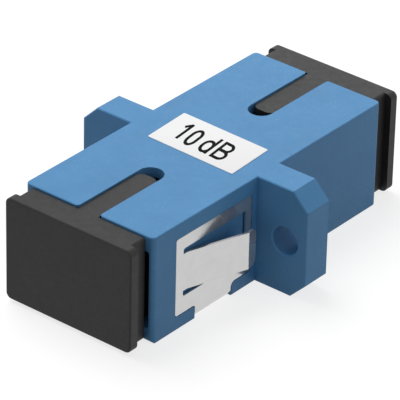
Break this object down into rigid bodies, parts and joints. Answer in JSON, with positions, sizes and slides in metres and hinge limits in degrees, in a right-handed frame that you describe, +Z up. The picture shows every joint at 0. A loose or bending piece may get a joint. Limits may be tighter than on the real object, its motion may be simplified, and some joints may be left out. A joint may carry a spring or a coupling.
{
  "type": "fibre attenuator",
  "caption": "Flanged fixed fibre attenuator with a plug port at each end, a spring panel clip, pull-off dust caps and a rating label.",
  "frame": {"origin": "on the flat base, under the middle of the body; the base rests on the surface", "axes": "+X across the flange, +Y along the fibre from the front port to the rear port, +Z up through the key slots"},
  "size_m": [0.022, 0.0322, 0.0093],
  "materials": {
    "housing": "blue moulded plastic, fine spark-eroded texture",
    "latch": "natural moulded plastic",
    "ceramic": "polished white ceramic",
    "spacer": "plain steel",
    "clip": "bright rolled spring steel",
    "dust_cap": "black moulded plastic",
    "label": "white printed film"
  },
  "bodies": {
    "core": {"housing": "housing", "front_latch": "latch", "rear_latch": "latch", "split_sleeve": "ceramic", "gap_spacer": "spacer", "panel_clip": "clip", "rating_label": "label"},
    "front_cap": {"front_dust_cap": "dust_cap"},
    "rear_cap": {"rear_dust_cap": "dust_cap"}
  },
  "joints": [
    {"name": "front_cap_pull", "type": "slide", "parent": "core", "child": "front_cap", "axis": [0, -1, 0], "range_m": [0, 0.012]},
    {"name": "rear_cap_pull", "type": "slide", "parent": "core", "child": "rear_cap", "axis": [0, 1, 0], "range_m": [0, 0.012]}
  ]
}
